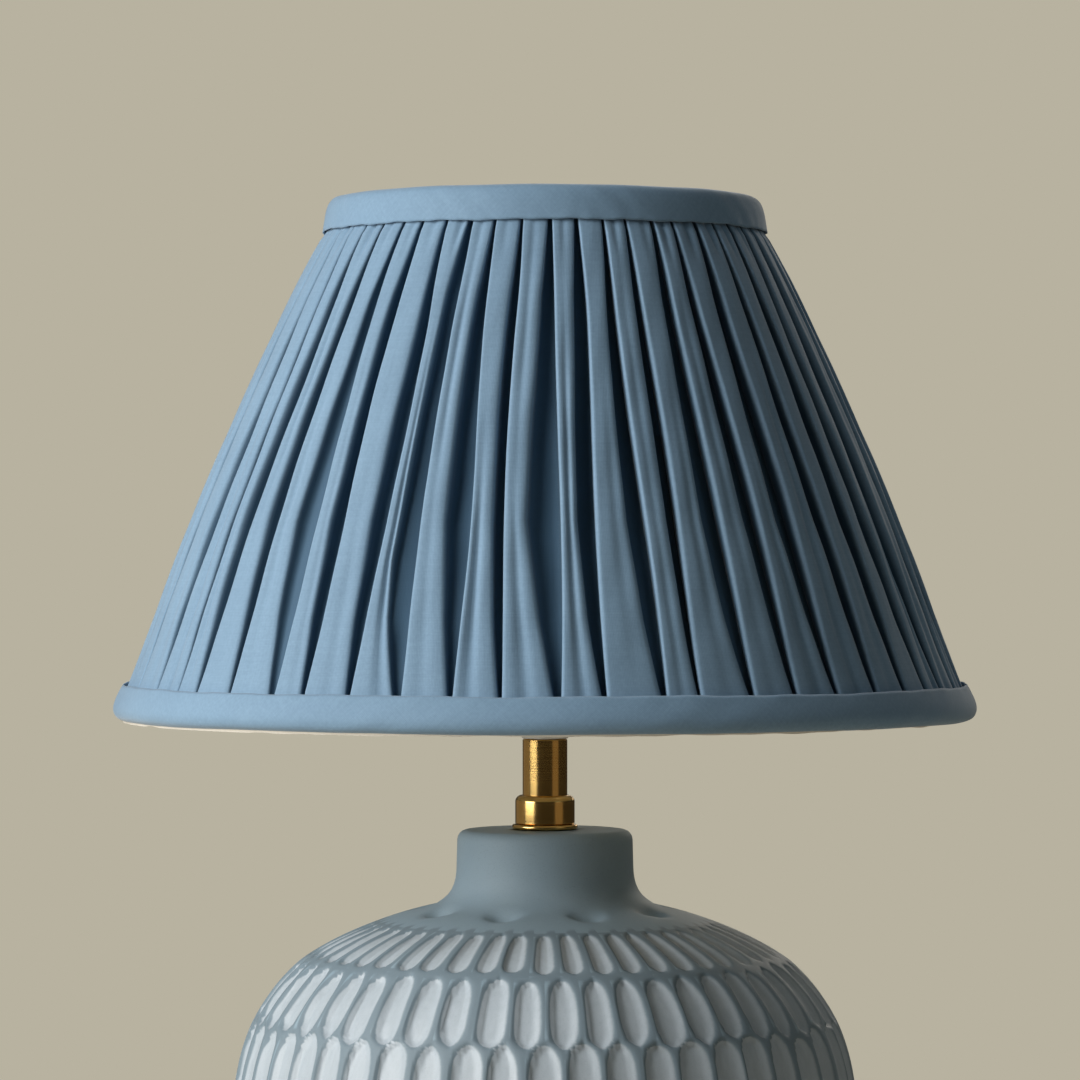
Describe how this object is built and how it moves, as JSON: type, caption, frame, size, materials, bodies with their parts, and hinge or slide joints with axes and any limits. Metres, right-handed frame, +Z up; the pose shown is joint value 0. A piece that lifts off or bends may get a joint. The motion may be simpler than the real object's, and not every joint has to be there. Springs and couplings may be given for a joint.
{
  "type": "table lamp with shade",
  "caption": "Table lamp: round carved-facet ceramic base with a short neck, brass stem and screw lampholder, under a wide knife-pleated blue fabric shade with banded edges.",
  "frame": {"origin": "on the lamp's axis, on the surface that it stands on, at the underside of the felt", "axes": "+Z up along the lamp's axis; -Y is the front, and the cord gland is at the back, on +Y; the switch bar lies along X"},
  "size_m": [0.4, 0.4, 0.5579],
  "materials": {
    "ceramic_glaze": "matte blue-grey glaze with paler, satin carved facets",
    "brass": "satin, lightly lacquered",
    "steel": "zinc plated",
    "white_plastic": "moulded, satin",
    "porcelain": "white porcelain",
    "blue_cotton": "fine plain-weave cotton, pleated by hand",
    "lining_cotton": "stretched off-white lining",
    "grey_felt": "wool felt",
    "fibreboard": "hardboard",
    "black_rubber": "moulded",
    "gold_flex": "two-core flex with a fabric braid",
    "live_brown": "insulated core",
    "neutral_blue": "insulated core",
    "white_wire": "powder-coated wire and strip",
    "bulb_glass": "clear",
    "filament_yellow": "phosphor-coated filament strip",
    "nickel": "nickel-plated brass",
    "black_glass": "vitreous insulator"
  },
  "bodies": {
    "root": {"ceramic_body": "ceramic_glaze", "base_disc": "fibreboard", "felt_pad": "grey_felt", "cord_gland": "black_rubber", "threaded_tube": "steel", "rubber_washer": "black_rubber", "steel_washer": "steel", "lock_nut": "steel", "connector_block": "white_plastic", "inner_lead": "gold_flex", "core_live": "live_brown", "core_neutral": "neutral_blue", "brass_disc": "brass", "brass_collar": "brass", "brass_stem": "brass", "lampholder_cap": "white_plastic", "lampholder_shell": "white_plastic", "lampholder_insert": "porcelain", "screw_contact": "brass", "centre_contact": "brass", "terminal_live": "brass", "terminal_neutral": "brass", "clamp_ring_lower": "white_plastic", "clamp_ring_upper": "white_plastic"},
    "switch": {"switch_bar": "white_plastic"},
    "bulb_contact": {"bulb_pip": "nickel"},
    "bulb": {"bulb_insulator": "black_glass", "bulb_cap": "nickel", "bulb_glass": "bulb_glass", "bulb_stem": "bulb_glass", "bulb_filament_1": "filament_yellow", "bulb_filament_2": "filament_yellow", "bulb_filament_3": "filament_yellow", "bulb_filament_4": "filament_yellow"},
    "carrier": {"carrier_base_ring": "brass", "carrier_arm_left": "brass", "carrier_arm_right": "brass", "carrier_top_ring": "brass"},
    "shade": {"shade_top_wire": "white_wire", "shade_bottom_wire": "white_wire", "shade_strut_1": "white_wire", "shade_strut_2": "white_wire", "shade_strut_3": "white_wire", "shade_strut_4": "white_wire", "shade_strut_5": "white_wire", "shade_strut_6": "white_wire", "shade_strut_7": "white_wire", "shade_strut_8": "white_wire", "duplex_ring": "white_wire", "duplex_arm_1": "white_wire", "duplex_arm_2": "white_wire", "duplex_arm_3": "white_wire", "duplex_arm_4": "white_wire", "pleated_cover": "blue_cotton", "shade_lining": "lining_cotton", "top_band": "blue_cotton", "bottom_band": "blue_cotton"}
  },
  "joints": [
    {"name": "switch_push", "type": "slide", "parent": "root", "child": "switch", "axis": [-1, 0, 0], "range_m": [0, 0.004]},
    {"name": "bulb_rise", "type": "slide", "parent": "root", "child": "bulb_contact", "axis": [0, 0, 1], "range_m": [0, 0.0182]},
    {"name": "bulb_turn", "type": "hinge", "parent": "bulb_contact", "child": "bulb", "pos_m": [0, 0, 0.36], "axis": [0, 0, 1], "range_deg": [0, 1800]},
    {"name": "carrier_turn", "type": "hinge", "parent": "root", "child": "carrier", "pos_m": [0, 0, 0.3465], "axis": [0, 0, 1], "continuous": true},
    {"name": "shade_lift", "type": "slide", "parent": "carrier", "child": "shade", "axis": [0, 0, 1], "range_m": [0, 0.215]}
  ],
  "couplings": [
    {"joint": "bulb_rise", "follows": "bulb_turn", "m_per_rad": 0.0005776}
  ]
}
